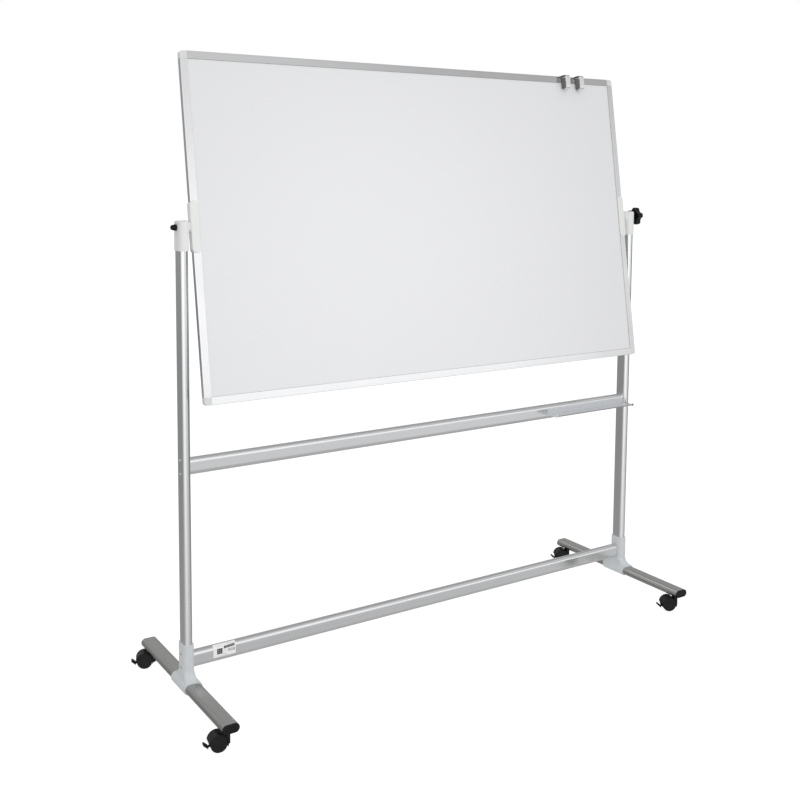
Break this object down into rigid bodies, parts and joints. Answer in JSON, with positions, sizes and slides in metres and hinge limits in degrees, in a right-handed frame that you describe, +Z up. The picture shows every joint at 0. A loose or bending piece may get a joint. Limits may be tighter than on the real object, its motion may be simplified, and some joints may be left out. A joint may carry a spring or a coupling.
{
  "type": "rolling whiteboard",
  "caption": "Double-sided whiteboard that tilts between two uprights, clamped by a star knob, on a wheeled stand with crossbars, a pen tray and braked swivel casters.",
  "frame": {"origin": "on the floor under the middle of the board, midway between the casters", "axes": "+X to the user's right along the board, +Y away from the user through the board, +Z up"},
  "size_m": [1.655, 0.5661, 1.6949],
  "materials": {
    "anodised_aluminium": "satin anodised",
    "foot_aluminium": "satin anodised, warmer grey",
    "enamelled_steel": "glossy white enamel",
    "core_board": "unfinished",
    "light_plastic": "fine satin",
    "grey_casting": "fine satin",
    "black_plastic": "satin",
    "wheel_plastic": "satin",
    "zinc_steel": "bright zinc plated",
    "chrome_strip": "polished",
    "label_paper": "satin print film"
  },
  "bodies": {
    "stand": {"upright_left": "anodised_aluminium", "upright_right": "anodised_aluminium", "upright_cap_left": "light_plastic", "upright_cap_right": "light_plastic", "upper_crossbar": "anodised_aluminium", "lower_crossbar": "anodised_aluminium", "crossbar_screws": "zinc_steel", "foot_connector_left": "grey_casting", "foot_connector_right": "grey_casting", "foot_bar_left": "foot_aluminium", "foot_bar_right": "foot_aluminium", "foot_end_cap_front_left": "black_plastic", "foot_end_cap_front_right": "black_plastic", "foot_end_cap_rear_left": "black_plastic", "foot_end_cap_rear_right": "black_plastic", "friction_washers": "light_plastic", "pen_tray": "anodised_aluminium", "tray_end_cap_left": "light_plastic", "tray_end_cap_right": "light_plastic", "label": "label_paper", "caster_stems": "zinc_steel"},
    "board": {"writing_surface_front": "enamelled_steel", "writing_surface_back": "enamelled_steel", "board_core": "core_board", "frame_top": "anodised_aluminium", "frame_bottom": "anodised_aluminium", "frame_left": "anodised_aluminium", "frame_right": "anodised_aluminium", "corner_cap_top_left": "light_plastic", "corner_cap_top_right": "light_plastic", "corner_cap_bottom_left": "light_plastic", "corner_cap_bottom_right": "light_plastic", "pivot_bracket_left": "light_plastic", "pivot_bracket_right": "light_plastic", "pivot_stud_left": "zinc_steel", "pivot_stud_right": "zinc_steel", "dome_nut": "black_plastic"},
    "knob": {"star_knob": "black_plastic"},
    "clip_left": {"clip_left": "chrome_strip"},
    "clip_right": {"clip_right": "chrome_strip"},
    "caster_front_left": {"caster_front_left_hood": "black_plastic", "caster_front_left_axle": "zinc_steel"},
    "caster_front_left_wheel_left": {"caster_front_left_wheel_left": "wheel_plastic"},
    "caster_front_left_wheel_right": {"caster_front_left_wheel_right": "wheel_plastic"},
    "caster_front_left_pedal": {"caster_front_left_pedal": "black_plastic"},
    "caster_front_right": {"caster_front_right_hood": "black_plastic", "caster_front_right_axle": "zinc_steel"},
    "caster_front_right_wheel_left": {"caster_front_right_wheel_left": "wheel_plastic"},
    "caster_front_right_wheel_right": {"caster_front_right_wheel_right": "wheel_plastic"},
    "caster_front_right_pedal": {"caster_front_right_pedal": "black_plastic"},
    "caster_rear_left": {"caster_rear_left_hood": "black_plastic", "caster_rear_left_axle": "zinc_steel"},
    "caster_rear_left_wheel_left": {"caster_rear_left_wheel_left": "wheel_plastic"},
    "caster_rear_left_wheel_right": {"caster_rear_left_wheel_right": "wheel_plastic"},
    "caster_rear_left_pedal": {"caster_rear_left_pedal": "black_plastic"},
    "caster_rear_right": {"caster_rear_right_hood": "black_plastic", "caster_rear_right_axle": "zinc_steel"},
    "caster_rear_right_wheel_left": {"caster_rear_right_wheel_left": "wheel_plastic"},
    "caster_rear_right_wheel_right": {"caster_rear_right_wheel_right": "wheel_plastic"},
    "caster_rear_right_pedal": {"caster_rear_right_pedal": "black_plastic"}
  },
  "joints": [
    {"name": "board_tilt", "type": "hinge", "parent": "stand", "child": "board", "pos_m": [0, 0, 1.245], "axis": [1, 0, 0], "continuous": true},
    {"name": "knob_turn", "type": "hinge", "parent": "board", "child": "knob", "pos_m": [0.805, 0, 1.245], "axis": [1, 0, 0], "continuous": true},
    {"name": "clip_left_slide", "type": "slide", "parent": "board", "child": "clip_left", "axis": [1, 0, 0], "range_m": [-1.2, 0.03]},
    {"name": "clip_right_slide", "type": "slide", "parent": "board", "child": "clip_right", "axis": [1, 0, 0], "range_m": [-0.03, 0.12]},
    {"name": "caster_front_left_swivel", "type": "hinge", "parent": "stand", "child": "caster_front_left", "pos_m": [-0.7756, -0.2514, 0.04], "axis": [0, 0, 1], "continuous": true},
    {"name": "caster_front_left_wheel_left_spin", "type": "hinge", "parent": "caster_front_left", "child": "caster_front_left_wheel_left", "pos_m": [-0.79727, -0.24758, 0.021], "axis": [0.1736, 0.9848, 0], "continuous": true},
    {"name": "caster_front_left_wheel_right_spin", "type": "hinge", "parent": "caster_front_left", "child": "caster_front_left_wheel_right", "pos_m": [-0.79727, -0.24758, 0.021], "axis": [0.1736, 0.9848, 0], "continuous": true},
    {"name": "caster_front_left_brake", "type": "hinge", "parent": "caster_front_left", "child": "caster_front_left_pedal", "pos_m": [-0.79727, -0.24758, 0.021], "axis": [-0.1736, -0.9848, 0], "range_deg": [0, 14]},
    {"name": "caster_front_right_swivel", "type": "hinge", "parent": "stand", "child": "caster_front_right", "pos_m": [0.7756, -0.2514, 0.04], "axis": [0, 0, 1], "continuous": true},
    {"name": "caster_front_right_wheel_left_spin", "type": "hinge", "parent": "caster_front_right", "child": "caster_front_right_wheel_left", "pos_m": [0.75583, -0.24176, 0.021], "axis": [0.4384, 0.8988, 0], "continuous": true},
    {"name": "caster_front_right_wheel_right_spin", "type": "hinge", "parent": "caster_front_right", "child": "caster_front_right_wheel_right", "pos_m": [0.75583, -0.24176, 0.021], "axis": [0.4384, 0.8988, 0], "continuous": true},
    {"name": "caster_front_right_brake", "type": "hinge", "parent": "caster_front_right", "child": "caster_front_right_pedal", "pos_m": [0.75583, -0.24176, 0.021], "axis": [-0.4384, -0.8988, 0], "range_deg": [0, 14]},
    {"name": "caster_rear_left_swivel", "type": "hinge", "parent": "stand", "child": "caster_rear_left", "pos_m": [-0.7756, 0.2514, 0.04], "axis": [0, 0, 1], "continuous": true},
    {"name": "caster_rear_left_wheel_left_spin", "type": "hinge", "parent": "caster_rear_left", "child": "caster_rear_left_wheel_left", "pos_m": [-0.79627, 0.25892, 0.021], "axis": [0.342, 0.9397, 0], "continuous": true},
    {"name": "caster_rear_left_wheel_right_spin", "type": "hinge", "parent": "caster_rear_left", "child": "caster_rear_left_wheel_right", "pos_m": [-0.79627, 0.25892, 0.021], "axis": [0.342, 0.9397, 0], "continuous": true},
    {"name": "caster_rear_left_brake", "type": "hinge", "parent": "caster_rear_left", "child": "caster_rear_left_pedal", "pos_m": [-0.79627, 0.25892, 0.021], "axis": [-0.342, -0.9397, 0], "range_deg": [0, 14]},
    {"name": "caster_rear_right_swivel", "type": "hinge", "parent": "stand", "child": "caster_rear_right", "pos_m": [0.7756, 0.2514, 0.04], "axis": [0, 0, 1], "continuous": true},
    {"name": "caster_rear_right_wheel_left_spin", "type": "hinge", "parent": "caster_rear_right", "child": "caster_rear_right_wheel_left", "pos_m": [0.75566, 0.2607, 0.021], "axis": [0.4226, 0.9063, 0], "continuous": true},
    {"name": "caster_rear_right_wheel_right_spin", "type": "hinge", "parent": "caster_rear_right", "child": "caster_rear_right_wheel_right", "pos_m": [0.75566, 0.2607, 0.021], "axis": [0.4226, 0.9063, 0], "continuous": true},
    {"name": "caster_rear_right_brake", "type": "hinge", "parent": "caster_rear_right", "child": "caster_rear_right_pedal", "pos_m": [0.75566, 0.2607, 0.021], "axis": [-0.4226, -0.9063, 0], "range_deg": [0, 14]}
  ]
}
